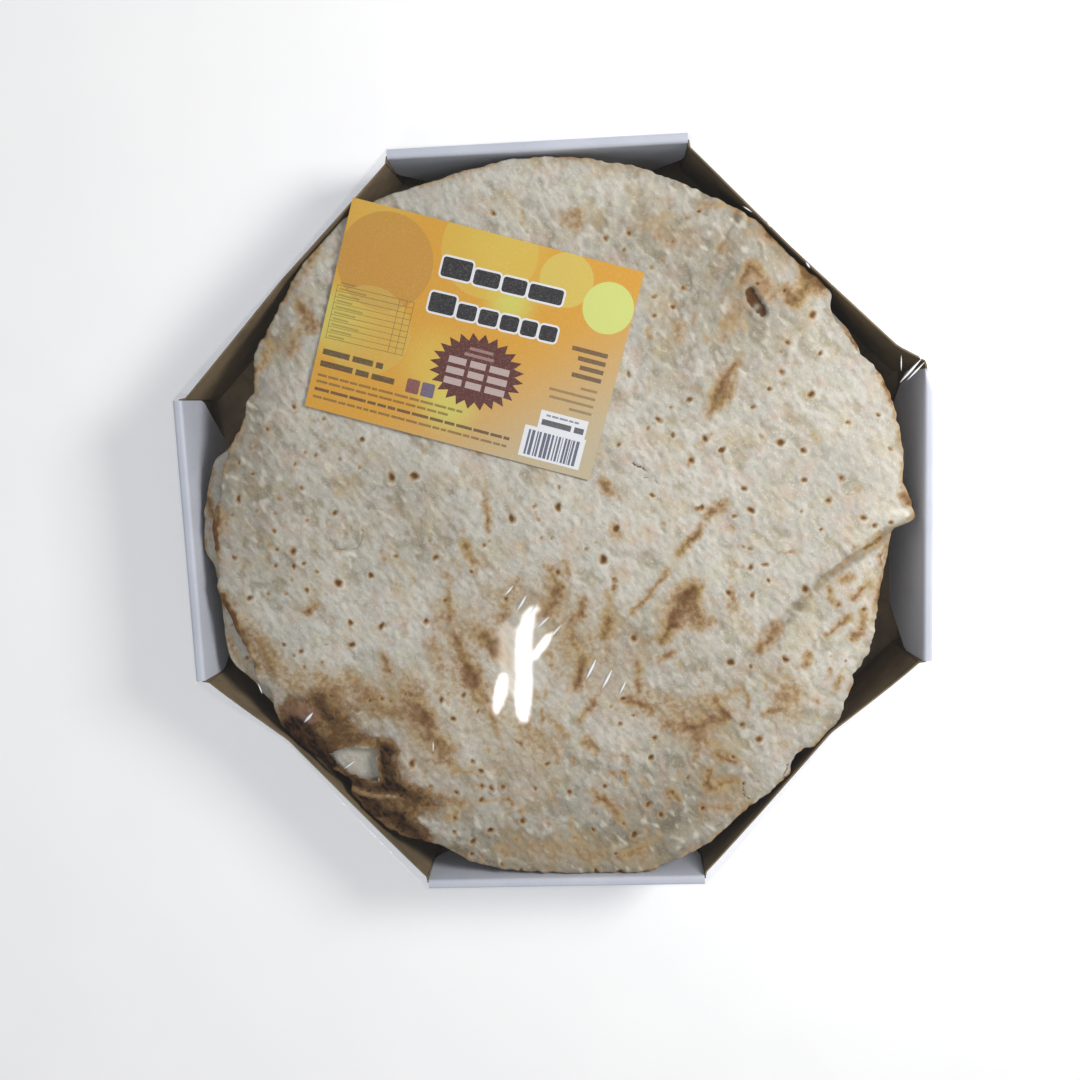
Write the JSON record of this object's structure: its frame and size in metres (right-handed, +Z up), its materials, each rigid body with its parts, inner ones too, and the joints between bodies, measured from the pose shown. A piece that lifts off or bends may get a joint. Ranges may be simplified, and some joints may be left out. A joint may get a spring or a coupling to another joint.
{
  "type": "wrapped pack of naan bread",
  "caption": "Large round naan breads stacked in an eight-sided card tray under a label card, wrapped whole in clear film.",
  "frame": {"origin": "middle of the underside of the wrapped pack, on the surface it lies on", "axes": "+Z up out of the pack's open side, +X to the right and +Y to the top of the shown side, square to the tray's straight walls"},
  "size_m": [0.3812, 0.3812, 0.0526],
  "materials": {
    "tray_card": "white coated board outside and on the rolled-over flaps, brown kraft inside",
    "naan_crust": "pale floury bread with scorched spots, matte, standing in for baked dough",
    "naan_top_crust": "pale bumpy bread with brown pits, golden streaks and one charred side, matte, standing in for baked dough",
    "label_print": "thin satin card printed in orange and yellow",
    "clear_film": "thin clear shrink film with taut wrinkles and sharp highlights"
  },
  "bodies": {
    "root": {"tray": "tray_card", "naan_1": "naan_crust", "naan_2": "naan_crust", "naan_3": "naan_crust", "naan_4": "naan_crust", "naan_5": "naan_crust", "naan_top": "naan_top_crust", "label_card": "label_print", "film": "clear_film"}
  },
  "joints": []
}
